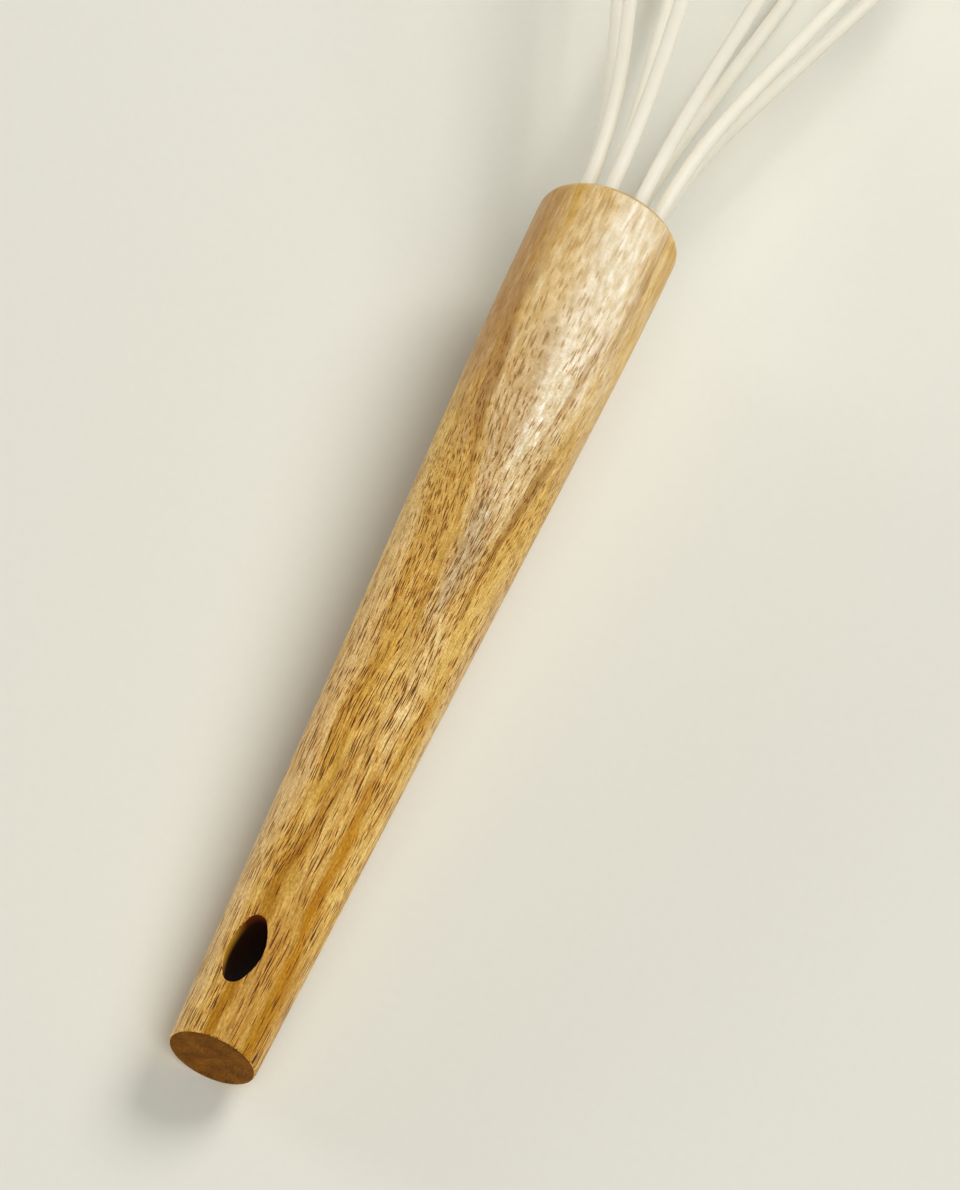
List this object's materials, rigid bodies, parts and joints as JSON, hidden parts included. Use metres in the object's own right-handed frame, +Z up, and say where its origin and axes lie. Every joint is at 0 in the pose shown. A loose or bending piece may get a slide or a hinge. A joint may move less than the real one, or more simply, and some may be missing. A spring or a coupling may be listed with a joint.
{
  "type": "balloon whisk",
  "caption": "Balloon whisk with a tapered wooden handle, an oval hanging hole through its narrow end and silicone-covered wire loops crossed at the tip.",
  "frame": {"origin": "centre of the bounding box's underside, on the surface that the whisk lies on", "axes": "+X from the butt of the handle to the tip of the balloon, +Z up"},
  "size_m": [0.303, 0.0586, 0.0589],
  "materials": {
    "handle_wood": "fine-grained hardwood with a satin oil finish",
    "strand_silicone": "matte cream silicone",
    "core_steel": "bright drawn spring steel",
    "guide_plastic": "matte cream nylon",
    "potting_resin": "amber potting resin"
  },
  "bodies": {
    "root": {"handle": "handle_wood", "wire_guide": "guide_plastic", "potting_resin": "potting_resin", "loop_core_1": "core_steel", "loop_core_2": "core_steel", "loop_core_3": "core_steel", "loop_core_4": "core_steel", "loop_sleeve_1": "strand_silicone", "loop_sleeve_2": "strand_silicone", "loop_sleeve_3": "strand_silicone", "loop_sleeve_4": "strand_silicone"}
  },
  "joints": []
}
